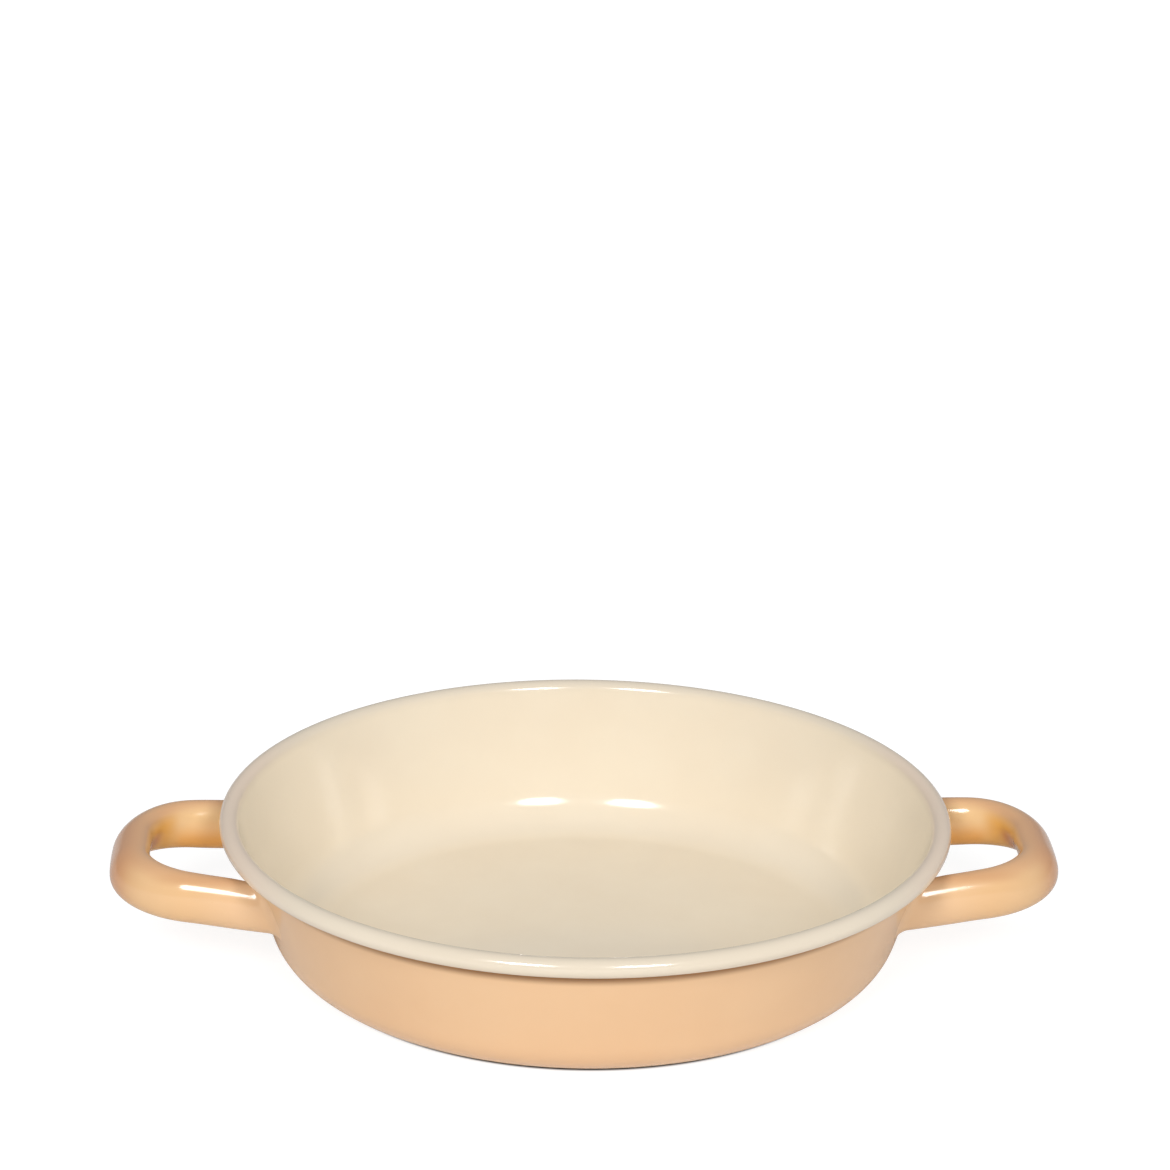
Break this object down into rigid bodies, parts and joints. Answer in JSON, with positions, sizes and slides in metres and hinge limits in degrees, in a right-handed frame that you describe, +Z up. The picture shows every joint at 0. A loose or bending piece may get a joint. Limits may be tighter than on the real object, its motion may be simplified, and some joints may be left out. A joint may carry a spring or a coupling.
{
  "type": "enamel egg pan",
  "caption": "Shallow round enamelled steel pan with a sloping wall, a rolled rim and two hollow loop handles welded to its sides.",
  "frame": {"origin": "middle of the base's underside, on the pan's axis", "axes": "+Z up along the pan's axis, +X along the line through both handles, +Y square to them"},
  "size_m": [0.2858, 0.22, 0.0456],
  "materials": {
    "bowl_enamel": "gloss",
    "handle_enamel": "gloss"
  },
  "bodies": {
    "root": {"pan_bowl": "bowl_enamel", "handle_left": "handle_enamel", "handle_right": "handle_enamel"}
  },
  "joints": []
}
